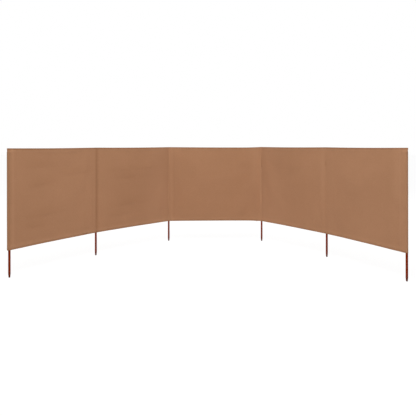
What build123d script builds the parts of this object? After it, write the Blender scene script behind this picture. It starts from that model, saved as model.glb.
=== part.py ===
from build123d import *
import os
from math import acos, cos, degrees, radians, sin, tan

# A beach windbreak: one long cloth screen in five bays on six slim wooden poles, set out as an open U.
# Millimetres, +Z up. The origin is the centre of the blunt foot of the third pole, +X runs along the
# middle bay to the fourth pole, and the sheltered side of the screen faces -Y.

# Set-out of the poles
bay_pitch = 1190.0
# Direction of each bay in plan, from the left end, in degrees turned from the middle bay
bay_headings = (61.0, 52.0, 0.0, -58.0, -65.0)
origin_pole = 2

# Poles
pole_diameter = 22.0
foot_diameter = 15.0
foot_taper = 35.0
foot_round = 2.0
pole_top_chamfer = 2.5
bare_pole = 255.0

# Cloth
cloth_height = 945.0
cloth_thickness = 1.0
pole_clearance = 0.3
top_hem_height = 40.0
bottom_hem_height = 25.0

# Pole pockets, measured along the bays from the axis of the pole
pocket_reach = 68.0
pocket_heel = 27.0
end_fold_reach = 18.0
seam_allowance = 9.0
sewing_gap = 0.5
# The side of each pole on which its pocket is wide, from the left end
pocket_sides = ("right", "left", "right", "left", "left", "left")

# Derived sizes
bay_count = len(bay_headings)
pole_count = bay_count + 1
pole_radius = pole_diameter / 2
# From the line of the pole axes to the back face of the cloth, which hangs on the sheltered side
cloth_offset = pole_radius + pole_clearance
cloth_bottom = bare_pole
cloth_top = cloth_bottom + cloth_height
pocket_top = cloth_top - top_hem_height
pole_top = pocket_top - cloth_thickness - pole_clearance


def along(bay):
    """Unit vector along a bay, from its left pole to its right pole."""
    return Vector(cos(radians(bay_headings[bay])), sin(radians(bay_headings[bay])))


def sheltered(bay):
    """Unit vector square to a bay, towards the sheltered side."""
    return Vector(sin(radians(bay_headings[bay])), -cos(radians(bay_headings[bay])))


def pole_place(pole):
    """Plan position of a pole's axis."""
    place = Vector(0, 0)
    for bay in range(min(pole, origin_pole), max(pole, origin_pole)):
        place += along(bay) * bay_pitch
    return place if pole > origin_pole else -place


def mitre_share(pole):
    """Tangent of half the turn of the screen at a pole, and zero at the two ends."""
    if pole in (0, bay_count):
        return 0
    return tan(radians(bay_headings[pole - 1] - bay_headings[pole]) / 2)


def side_bay(pole, side):
    """The bay on one side of a pole and the unit vector along it away from the pole, or None at an end."""
    bay = pole if side == "right" else pole - 1
    if bay not in range(bay_count):
        return None
    return bay, along(bay) if side == "right" else -along(bay)


def polygon(points):
    """A flat face on the ground plane through the given plan points."""
    return make_face(Polyline(*points, close=True))


def raised(face, low, high):
    """An upright prism over a plan face between two heights."""
    return Pos(0, 0, low) * extrude(face, amount=high - low)


def bay_face(bay, back, front, ends):
    """Plan of a strip of cloth along a bay between two offsets from the line of the poles.

    ends gives, for an offset, how far the strip stops short of the left and the right pole.
    """
    start = pole_place(bay)
    outline = [(ends(back)[0], back), (bay_pitch - ends(back)[1], back)]
    outline += [(bay_pitch - ends(front)[1], front), (ends(front)[0], front)]
    return polygon([start + along(bay) * run + sheltered(bay) * offset for run, offset in outline])


def mitred_ends(bay):
    """Ends of a strip that meets the next bay on the line that halves their corner."""
    def stop_short(offset):
        left = offset * mitre_share(bay) if bay > 0 else -end_fold_reach
        right = offset * mitre_share(bay + 1) if bay + 1 < bay_count else -end_fold_reach
        return left, right
    return stop_short


def pocket_span(pole, side):
    """How far a pocket reaches along one side of its pole, up to its seam."""
    return pocket_reach if pocket_sides[pole] == side else pocket_heel


def hem_ends(bay):
    """Square ends of a bottom hem, which stops beside the sewn edges of the pockets."""
    margin = seam_allowance + sewing_gap
    left = pocket_span(bay, "right") + margin
    right = pocket_span(bay + 1, "left") + margin
    return lambda offset: (left, right)


def pole_solid(pole):
    """A round pole with a tapered blunt foot and a chamfered top."""
    foot_radius = foot_diameter / 2
    outline = Polyline(
        (0, 0),
        (foot_radius, 0),
        (pole_radius, foot_taper),
        (pole_radius, pole_top - pole_top_chamfer),
        (pole_radius - pole_top_chamfer, pole_top),
        (0, pole_top),
        close=True,
    )
    profile = make_face(outline)
    toe = profile.vertices().sort_by_distance((foot_radius, 0))[0]
    profile = Plane.XZ * fillet(toe, foot_round)
    return Pos(pole_place(pole)) * revolve(profile, axis=Axis.Z)


def panel_solid(bay):
    """The cloth of one bay."""
    front = cloth_offset + cloth_thickness
    return raised(bay_face(bay, cloth_offset, front, mitred_ends(bay)), cloth_bottom, cloth_top)


def top_hem_solid(bay):
    """The fold along the top of a bay, turned to the back."""
    back = cloth_offset - cloth_thickness
    return raised(bay_face(bay, back, cloth_offset, mitred_ends(bay)), pocket_top, cloth_top)


def bottom_hem_solid(bay):
    """The fold along the bottom of a bay, turned to the back between the pockets."""
    back = cloth_offset - cloth_thickness
    face = bay_face(bay, back, cloth_offset, hem_ends(bay))
    return raised(face, cloth_bottom, cloth_bottom + bottom_hem_height)


def touch_normal(point, radius, side):
    """Unit vector from a pole's axis to where cloth drawn from a point first touches a circle round it."""
    swing = degrees(acos(radius / point.length))
    return point.normalized().rotate(Axis.Z, swing if side == "right" else -swing)


def sewn_leg(pole, side):
    """One side of a pocket in plan, from the pole to an edge sewn flat on the back of the cloth.

    Gives the normal where the cloth leaves the pole, the points along its outside, and those along its
    inside, each in the order in which the cloth runs away from the pole.
    """
    bay, away = side_bay(pole, side)
    lift = sheltered(bay) * -cloth_thickness
    seam = away * pocket_span(pole, side) + sheltered(bay) * cloth_offset
    edge = seam + away * seam_allowance
    normal = touch_normal(seam, cloth_offset, side)
    lean = lift + normal * cloth_thickness
    crook = seam + lean * (2 * cloth_thickness**2 / lean.length**2)
    return normal, [crook, edge + lift], [seam, edge]


def folded_leg(pole, side):
    """The outer side of an end pocket, where the cloth itself folds round the pole; as sewn_leg."""
    bay, away = side_bay(pole, pocket_sides[pole])
    fold = sheltered(bay) * cloth_offset - away * end_fold_reach
    normal = touch_normal(fold, cloth_offset + cloth_thickness, side)
    inside = fold - away * (cloth_thickness / normal.dot(away))
    return normal, [fold], [inside]


def pocket_leg(pole, side):
    """One side of a pocket: sewn to the bay there, or folded at an end of the screen."""
    return sewn_leg(pole, side) if side_bay(pole, side) else folded_leg(pole, side)


def wrap(first, second, radius):
    """The arc of cloth round the back of a pole between the normals of the two sides."""
    middle = (first + second).normalized()
    return ThreePointArc(first * radius, middle * radius, second * radius)


def pocket_plan(pole):
    """Plan of a pocket's wall, and of the space inside it up to the back of the cloth."""
    outer_radius = cloth_offset + cloth_thickness
    left, left_outside, left_inside = pocket_leg(pole, "left")
    right, right_outside, right_inside = pocket_leg(pole, "right")
    left_edge = [left * outer_radius, *left_outside, *reversed(left_inside), left * cloth_offset]
    right_edge = [right * outer_radius, *right_outside, *reversed(right_inside), right * cloth_offset]
    outer_wrap = wrap(left, right, outer_radius)
    inner_wrap = wrap(left, right, cloth_offset)
    wall = make_face([outer_wrap, Polyline(*left_edge), inner_wrap, Polyline(*right_edge)])
    bay, away = side_bay(pole, pocket_sides[pole])
    corner = away * (cloth_offset * mitre_share(pole)) + sheltered(bay) * cloth_offset
    inside_edge = [left * cloth_offset, left_inside[0], corner, right_inside[0], right * cloth_offset]
    return wall, make_face([inner_wrap, Polyline(*inside_edge)])


def pocket_solid(pole):
    """A pocket: cloth drawn round the back of the pole to a seam on either side, closed at the top.

    One seam is far from the pole and the other near it. At the two ends of the screen the near side is
    the fold of the cloth itself.
    """
    wall, inside = pocket_plan(pole)
    sleeve = raised(wall, cloth_bottom, pocket_top)
    cap = raised(inside, pocket_top - cloth_thickness, pocket_top)
    return Pos(pole_place(pole)) * (sleeve + cap)


def export_all():
    """Write every piece to a file of its own."""
    os.makedirs("parts", exist_ok=True)
    for pole in range(pole_count):
        export_step(pole_solid(pole), f"parts/pole_{pole + 1}.step")
        export_step(pocket_solid(pole), f"parts/pocket_{pole + 1}.step")
    for bay in range(bay_count):
        export_step(panel_solid(bay), f"parts/panel_{bay + 1}.step")
        export_step(top_hem_solid(bay), f"parts/top_hem_{bay + 1}.step")
        export_step(bottom_hem_solid(bay), f"parts/bottom_hem_{bay + 1}.step")


export_all()
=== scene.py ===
"""A beach windbreak in the studio: brown cloth in five bays, sewn round six stained wooden poles."""
import logging
import math
from bisect import bisect
from dataclasses import dataclass
from enum import Enum
from functools import cached_property, partial
from typing import Any, Callable, NamedTuple

import bmesh
import bpy
import numpy as np
from mathutils import Matrix, Vector, noise


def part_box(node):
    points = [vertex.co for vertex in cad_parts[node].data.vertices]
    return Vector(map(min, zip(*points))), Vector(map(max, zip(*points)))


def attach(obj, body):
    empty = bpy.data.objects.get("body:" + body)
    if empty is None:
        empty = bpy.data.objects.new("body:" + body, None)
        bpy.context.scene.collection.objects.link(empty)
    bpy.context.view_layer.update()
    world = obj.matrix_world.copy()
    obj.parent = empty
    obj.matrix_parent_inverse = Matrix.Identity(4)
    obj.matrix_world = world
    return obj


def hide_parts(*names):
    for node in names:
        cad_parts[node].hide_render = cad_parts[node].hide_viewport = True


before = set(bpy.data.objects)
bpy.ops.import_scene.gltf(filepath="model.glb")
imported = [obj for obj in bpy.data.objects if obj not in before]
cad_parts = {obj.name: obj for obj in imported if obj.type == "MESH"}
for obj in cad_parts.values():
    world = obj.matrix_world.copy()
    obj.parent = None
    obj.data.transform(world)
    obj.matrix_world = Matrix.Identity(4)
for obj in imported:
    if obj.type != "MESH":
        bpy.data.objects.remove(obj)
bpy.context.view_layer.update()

log = logging.getLogger("windbreak")
BODY = "root"
WHITE = (1.0, 1.0, 1.0)
# Distance within which points count as one
TOUCHING = 1e-5
Pair = tuple[float, float]
Triple = tuple[float, float, float]
Colour = tuple[float, float, float]
# A point on a face of the cloth, and the way that the face looks
FacePoint = tuple[Vector, Vector]


def lerp(start: float, end: float, share: float) -> float:
    """Value a given share of the way from start to end."""
    return start + (end - start) * share


def clamp(value: float) -> float:
    """Value held between 0 and 1."""
    return min(max(value, 0.0), 1.0)


def smooth(low: float, high: float, value: float) -> float:
    """Soft step from 0 at low to 1 at high."""
    share = clamp((value - low) / (high - low))
    return share * share * (3 - 2 * share)


def bell(value: float, width: float) -> float:
    """Soft hump, 1 at 0 and nearly gone at twice the width."""
    return math.exp(-((value / width) ** 2))


def ripple(size: float, *place: float) -> float:
    """Rise of up to a size above or below 0, which wanders with the place."""
    return size * noise.noise(Vector(place))


class Side(Enum):
    """A side of a pole, seen from the sheltered face of the screen."""

    LEFT = -1
    RIGHT = 1

    def of(self, pair: Pair) -> float:
        """The value for this side in a pair of values for left and right."""
        return pair[self is Side.RIGHT]


class ScreenSpot(NamedTuple):
    """A place on the screen."""

    bay: int  # the bay, from 0
    run: float  # distance along the bay from its left pole
    height: float  # height above the lower edge of the cloth


@dataclass(frozen=True)
class ScreenPlan:
    """Where the poles stand and how high the cloth hangs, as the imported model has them."""

    poles: tuple[Vector, ...]  # plan position of each pole's axis, from the left end
    pole_radius: float
    pole_top: float  # height of the top of the poles
    bottom: float  # height of the lower edge of the cloth
    top: float  # height of the upper edge of the cloth
    top_hem: float  # depth of the fold along the top
    bottom_hem: float  # depth of the fold along the bottom
    # How far the front runs on past the axis of the pole at the left and at the right end
    end_reaches: Pair = (0.026, 0.018)
    end_looseness: Pair = (0.0075, 0.0005)  # how far the loops round those two poles hang out past them
    loop_ease: float = 0.3  # share of its looseness by which a loop is wider
    corner_ease: float = 0.022  # length over which the cloth turns on either side of a pole
    cloth_gauge: float = 0.0006  # thickness of the cloth
    ply_gap: float = 0.0009  # from the middle of one layer of cloth to the middle of the next
    pole_gap: float = 0.0014  # from the face of a pole to the middle of the front layer
    pole_room: float = 0.0006  # room between a pole and the cloth drawn round it

    @classmethod
    def from_frame(cls) -> "ScreenPlan":
        """Read the set-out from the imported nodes.

        Returns:
            The plan.
        """
        boxes = [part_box(name) for name in sorted(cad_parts) if name.startswith("pole_")]
        centres = [(low + high) / 2 for low, high in boxes]
        low, high = boxes[0]
        panel, top_hem, bottom_hem = (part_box(name) for name in ("panel_1", "top_hem_1", "bottom_hem_1"))
        return cls(
            poles=tuple(Vector((centre.x, centre.y, 0)) for centre in centres),
            pole_radius=(high.x - low.x) / 2,
            pole_top=high.z,
            bottom=panel[0].z,
            top=panel[1].z,
            top_hem=top_hem[1].z - top_hem[0].z,
            bottom_hem=bottom_hem[1].z - bottom_hem[0].z,
        )

    @property
    def last_bay(self) -> int:
        """Number of the bay at the right end, counted from 0."""
        return len(self.poles) - 2

    @property
    def pitch(self) -> float:
        """Length of a bay from pole to pole."""
        return (self.poles[1] - self.poles[0]).length

    @property
    def height(self) -> float:
        """Height of the cloth."""
        return self.top - self.bottom

    @property
    def face_offset(self) -> float:
        """From the line of the pole axes to the middle of the front layer."""
        return self.pole_radius + self.pole_gap

    @property
    def pole_end(self) -> float:
        """Height of the top of the poles above the lower edge of the cloth."""
        return self.pole_top - self.bottom

    def heading(self, bay: int) -> Vector:
        """Unit vector along a bay, to the right."""
        return (self.poles[bay + 1] - self.poles[bay]).normalized()

    def sheltered(self, bay: int) -> Vector:
        """Unit vector square to a bay, towards the sheltered side."""
        ahead = self.heading(bay)
        return Vector((ahead.y, -ahead.x, 0))

    def half_turn(self, pole: int) -> float:
        """Tangent of half the turn of the screen at a pole between two bays."""
        before, after = self.heading(pole - 1), self.heading(pole)
        return before.cross(-after).z / (1 + before.dot(after))

    def stops(self, bay: int, offset: float) -> Pair:
        """Where a line of cloth along a bay begins and ends.

        Args:
            bay: The bay, from 0.
            offset: Distance of the line in front of the pole axes.

        Returns:
            Distances of its two ends along the bay from the left pole.
        """
        left = offset * self.half_turn(bay) if bay > 0 else -self.end_reaches[0]
        right = offset * self.half_turn(bay + 1) if bay < self.last_bay else -self.end_reaches[1]
        return left, self.pitch - right

    def loop_radius(self, looseness: float) -> float:
        """Radius of the middle of the cloth drawn round a pole."""
        return self.pole_radius + self.pole_room + self.cloth_gauge / 2 + self.loop_ease * looseness

    def end_loop(self, bay: int, run: float, offset: float) -> Pair:
        """Carry a point past an end pole round the loop of cloth there.

        Args:
            bay: The bay, from 0.
            run: Distance along the cloth from the bay's left pole.
            offset: Distance of the line in front of the pole axes.

        Returns:
            The point's distances along the bay and in front of the pole axes.
        """
        ends = ((0, 0.0, 1), (self.last_bay, self.pitch, -1))
        for (end, axis, inward), loose in zip(ends, self.end_looseness):
            beyond = (axis - run) * inward - loose
            if bay == end and beyond > 0:
                radius = self.loop_radius(loose)
                turn, arm = beyond / radius, radius + offset - self.face_offset
                along = axis - inward * (loose + arm * math.sin(turn))
                return along, self.face_offset - radius + arm * math.cos(turn)
        return run, offset

    def straight(self, bay: int, run: float, offset: float) -> Vector:
        """Plan point on the straight line of a bay, with distances as for line."""
        return self.poles[bay] + self.heading(bay) * run + self.sheltered(bay) * offset

    def line(self, bay: int, run: float, offset: float) -> Vector:
        """Plan point on a line of cloth that turns softly at the poles.

        Args:
            bay: The bay, from 0.
            run: Distance along the bay from its left pole.
            offset: Distance of the line in front of the pole axes.

        Returns:
            The point, on the ground.
        """
        ahead, (left, right) = self.heading(bay), self.stops(bay, offset)
        for inward, neighbour, stop in ((1, bay - 1, left), (-1, bay + 1, right)):
            beyond = 0.5 - 0.5 * (run - stop) * inward / self.corner_ease
            if 0 <= neighbour <= self.last_bay and beyond > 0:
                bend = ahead * ((1 - beyond) ** 2) - self.heading(neighbour) * beyond**2
                return self.straight(bay, stop, offset) + bend * (self.corner_ease * inward)
        return self.straight(bay, *self.end_loop(bay, run, offset))


def refined(field: np.ndarray, times: int) -> np.ndarray:
    """Carry a grid of heights to a finer one on smooth curves.

    Args:
        field: The heights.
        times: How many steps replace each step of the grid.

    Returns:
        The finer grid.
    """
    for axis in (0, 1):
        field = np.moveaxis(field, axis, 0)
        padded = np.concatenate([2 * field[:1] - field[1:2], field, 2 * field[-1:] - field[-2:-1]])
        place = np.linspace(0, len(field) - 1, (len(field) - 1) * times + 1)
        cell = np.minimum(place.astype(int), len(field) - 2)
        t = (place - cell)[:, None]
        before, start, end, after = (padded[cell + k] for k in range(4))
        bend = 2 * before - 5 * start + 4 * end - after + t * (3 * (start - end) + after - before)
        field = np.moveaxis(start + 0.5 * t * (end - before + t * bend), 0, axis)
    return field


def mesh_of(name: str, shell: bmesh.types.BMesh) -> bpy.types.Mesh:
    """Turn a bmesh into a mesh, and free it.

    Args:
        name: Name of the mesh.
        shell: The bmesh.

    Returns:
        The mesh.
    """
    mesh = bpy.data.meshes.new(name)
    shell.to_mesh(mesh)
    shell.free()
    return mesh


def set_up(name: str, data: Any) -> bpy.types.Object:
    """Put an object of the given name and data into the scene.

    Args:
        name: Name of the object.
        data: Its mesh, light or camera.

    Returns:
        The object.
    """
    item = bpy.data.objects.new(name, data)
    bpy.context.scene.collection.objects.link(item)
    return item


# Settings of the Cloth modifier for a light woven fabric
SLACK_FABRIC = {
    "quality": 6,
    "mass": 0.25,
    "air_damping": 4.0,
    "tension_stiffness": 80.0,
    "compression_stiffness": 80.0,
    "shear_stiffness": 32.0,
    "bending_stiffness": 5.0,
}


@dataclass
class SlackBay:
    """The cloth between two pockets, let down under its own weight in a short simulation."""

    span: float  # length of the cloth between the pockets
    height: float  # height of the cloth
    columns: int = 56  # number of faces along it
    rows: int = 50  # number of faces up it
    slack: float = 0.0003  # share by which it is longer than its span
    first_wave: float = 0.004  # height of the uneven waves that it starts with
    waves: int = 3  # how many of them there are each way
    seeds: Pair = (2.9, 4.9)  # where their pattern begins, along it and in depth
    bay_seeds: Pair = (1.6, 2.7)  # how far that moves on from bay to bay
    calm: float = 0.125  # share of its length beside each seam over which they rise
    gravity: float = 0.1  # share of its weight that pulls on it
    frames: int = 36  # number of steps
    finer: int = 4  # how many steps replace each face in the result

    def hang(self, bay: int) -> bpy.types.Object:
        """Hang a plain sheet by its two sides.

        Args:
            bay: The bay, which gives the sheet its own first waves.

        Returns:
            The sheet, ready to settle.
        """
        (start, depth), (step, depth_step) = self.seeds, self.bay_seeds
        shell = bmesh.new()
        bmesh.ops.create_grid(shell, x_segments=self.columns, y_segments=self.rows, size=0.5)
        for vert in shell.verts:
            across, up = vert.co.x + 0.5, vert.co.y + 0.5
            place = (self.waves * across + step * bay + start, self.waves * up, depth_step * bay + depth)
            fade = min(1.0, min(across, 1 - across) / self.calm)
            wave = ripple(self.first_wave, *place) * fade
            vert.co = (across * self.span, wave, up * self.height)
        sheet = set_up("slack", mesh_of("slack", shell))
        ends = [v.index for v in sheet.data.vertices if min(v.co.x, self.span - v.co.x) < TOUCHING]
        sheet.vertex_groups.new(name="seams").add(ends, 1.0, "REPLACE")
        cloth = sheet.modifiers.new("settle", "CLOTH")
        cloth.collision_settings.use_collision = False
        cloth.point_cache.frame_start, cloth.point_cache.frame_end = 1, self.frames
        for name, value in SLACK_FABRIC.items():
            setattr(cloth.settings, name, value)
        cloth.settings.vertex_group_mass = "seams"
        cloth.settings.shrink_min = -self.slack
        cloth.settings.effector_weights.gravity = self.gravity
        return sheet

    def settle(self, bay: int) -> list[list[float]]:
        """Let the cloth of a bay settle.

        Args:
            bay: The bay, from 0.

        Returns:
            How far each point stands in front of the flat sheet, in rows from the bottom.
        """
        sheet, scene = self.hang(bay), bpy.context.scene
        flat = np.array([vert.co for vert in sheet.data.vertices])
        for step in range(1, self.frames + 1):
            scene.frame_set(step)
        hung = sheet.evaluated_get(bpy.context.evaluated_depsgraph_get()).to_mesh()
        depth = np.array([vert.co.y for vert in hung.vertices])
        field = np.zeros((self.rows + 1, self.columns + 1))
        row = np.rint(flat[:, 2] / self.height * self.rows).astype(int)
        column = np.rint(flat[:, 0] / self.span * self.columns).astype(int)
        field[row, column] = -depth
        bpy.data.objects.remove(sheet)
        scene.frame_set(1)
        log.info("bay %d settled between %.1f and %.1f mm", bay + 1, field.min() * 1000, field.max() * 1000)
        return refined(field, self.finer).tolist()


@dataclass(frozen=True)
class ClothCrease:
    """A shallow fold along the cloth of a bay, steep below its crest and slack above it."""

    bay: int  # the bay, from 0
    along: float  # distance of its middle from the bay's left pole
    height: float  # height of its crest above the lower edge of the cloth
    reach: float  # half its length
    depth: float = 0.0036  # how far its crest stands out, or lies back where below 0
    lean: float = 0.05  # how steeply it climbs to the right
    steep: float = 0.026  # height of the slope below the crest
    slack: float = 0.075  # height of the slope above the crest

    def rise(self, spot: ScreenSpot) -> float:
        """How far the cloth stands out.

        Args:
            spot: The place on its bay.

        Returns:
            The distance towards the front.
        """
        across = spot.run - self.along
        above = spot.height - self.height - self.lean * across
        slope = self.slack if above > 0 else self.steep
        return self.depth * bell(across, self.reach) * bell(above, slope)


@dataclass(frozen=True)
class Drape:
    """The slack of the cloth: where it swells, ripples and pulls in along its edges."""

    pitch: float  # length of a bay
    height: float  # height of the cloth
    # Settled cloth of each bay, or nothing where it isn't simulated
    fields: tuple[list[list[float]], ...] = ()
    creases: tuple[ClothCrease, ...] = ()  # folds that the cloth keeps
    keep: float = 0.75  # share of the settled swell that a well stretched screen keeps
    still: float = 0.08  # distance from a pole within which the cloth is held flat by its pocket
    free: float = 0.17  # distance from a pole beyond which it swells freely
    edge_wave: float = 0.0014  # height of the waves along the upper and lower edges
    edge_waves: float = 6.5  # how close they lie along the edges
    edge_seeds: Pair = (4.2, 9.6)  # where their pattern begins at the lower and at the upper edge
    edge_depth: float = 0.09  # how far in from those edges the waves reach
    small_wave: float = 0.0004  # height of the small waves all over
    small_waves: Pair = (11.0, 27.0)  # how close they lie along the bay and up it
    bay_seeds: Pair = (3.1, 5.0)  # how far the two patterns move on from bay to bay
    # How far the upper and lower edges of each bay pull in
    pull: tuple[float, ...] = (0.003, 0.003, 0.006, 0.003, 0.003)
    # Where along each bay they pull in most, as a share of its length
    pull_at: tuple[float, ...] = (0.5, 0.45, 0.8, 0.5, 0.5)

    def settled(self, spot: ScreenSpot) -> float:
        """Swell of the settled cloth.

        Args:
            spot: The place on the screen.

        Returns:
            The distance towards the front.
        """
        field = self.fields[spot.bay]
        across = clamp((spot.run - self.still) / (self.pitch - 2 * self.still)) * (len(field[0]) - 1)
        up = clamp(spot.height / self.height) * (len(field) - 1)
        row, column = min(int(up), len(field) - 2), min(int(across), len(field[0]) - 2)
        low, high = (lerp(*line[column : column + 2], across - column) for line in field[row : row + 2])
        return lerp(low, high, up - row)

    def creased(self, spot: ScreenSpot) -> float:
        """How far the folds that the cloth keeps stand out."""
        return sum(crease.rise(spot) for crease in self.creases if crease.bay == spot.bay)

    def swell(self, spot: ScreenSpot) -> float:
        """How far the cloth stands in front of its flat plane.

        Args:
            spot: The place on the screen.

        Returns:
            The distance towards the front.
        """
        bay, run, height = spot
        held = smooth(self.still, self.free, min(run, self.pitch - run))
        if held == 0:
            return 0.0
        rise = self.settled(spot) * self.keep if self.fields else 0.0
        edge_row, small_row = (seed * bay for seed in self.bay_seeds)
        for edge, seed in zip((height, self.height - height), self.edge_seeds):
            wave = ripple(self.edge_wave, self.edge_waves * run, seed, edge_row)
            rise += wave * bell(edge, self.edge_depth)
        along, up = self.small_waves
        rise += ripple(self.small_wave, along * run, up * height, small_row)
        return (rise + self.creased(spot)) * held

    def lift(self, spot: ScreenSpot) -> float:
        """How far the cloth is raised or lowered where its edges pull in between the poles.

        Args:
            spot: The place on the screen.

        Returns:
            The distance upwards.
        """
        share, peak = clamp(spot.run / self.pitch), self.pull_at[spot.bay]
        rise = share / peak if share < peak else (1 - share) / (1 - peak)
        inward = 1 - 2 * spot.height / self.height
        return self.pull[spot.bay] * math.sin(0.5 * math.pi * rise) * inward


# Height of the short waves that a seam gathers, how close they lie across it and along it, where their
# pattern begins, and the nearness to a seam below which there are none
GATHER_RISE = 0.0006
GATHER_WAVES = (11, 38)
GATHER_SEED = 0.7
GATHER_LIMIT = 0.01


def gather(across: float, along: float, near: float) -> float:
    """Rise of cloth that a seam gathers.

    Args:
        across: Distance across the seam.
        along: Distance along it.
        near: How near the seam is, up to 1 on it.

    Returns:
        The rise, above or below 0.
    """
    if near < GATHER_LIMIT:
        return 0.0
    return ripple(GATHER_RISE * near, GATHER_WAVES[0] * across, GATHER_WAVES[1] * along, GATHER_SEED)


@dataclass(frozen=True)
class PocketPlan:
    """How the pocket of a pole is laid out."""

    wide_side: Side  # the side of the pole on which the strip reaches further
    reach: float = 0.068  # from the pole's axis to the seam on the wide side
    heel: float = 0.027  # from the pole's axis to the seam on the other side
    allowance: float = 0.009  # width of cloth beyond a seam

    def span(self, side: Side) -> float:
        """From the pole's axis to the seam on one side."""
        return self.reach if side is self.wide_side else self.heel

    def stitch_line(self, side: Side) -> float:
        """From the pole's axis to the stitches on one side."""
        return self.span(side) + self.allowance / 2


@dataclass(frozen=True)
class PaintedLightMark:
    """Painted shade or painted light on the front of the cloth beside a pole, such as the shade of a pole
    or a fold there, or light on a slope.
    """

    pole: int  # the pole beside which it lies, from 0
    along: float  # distance of its middle from that pole along the screen, to the right
    width: float  # half its width
    tone: float  # how far painted shade darkens it, or painted light lightens it where below 0
    low: float = -0.1  # height of its lower end above the lower edge of the cloth
    high: float = 1.1  # height of its upper end
    fade: float = 0.04  # height over which its ends fade out

    def at(self, away: float, height: float) -> float:
        """Its part of the painted shade and painted light on the cloth.

        Args:
            away: Distance from its pole along the screen, to the right.
            height: Height above the lower edge of the cloth.

        Returns:
            The tone, above 0 darker and below 0 paler.
        """
        foot = smooth(self.low, self.low + self.fade, height)
        head = 1 - smooth(self.high - self.fade, self.high, height)
        return self.tone * bell(away - self.along, self.width) * (foot * head)


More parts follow.
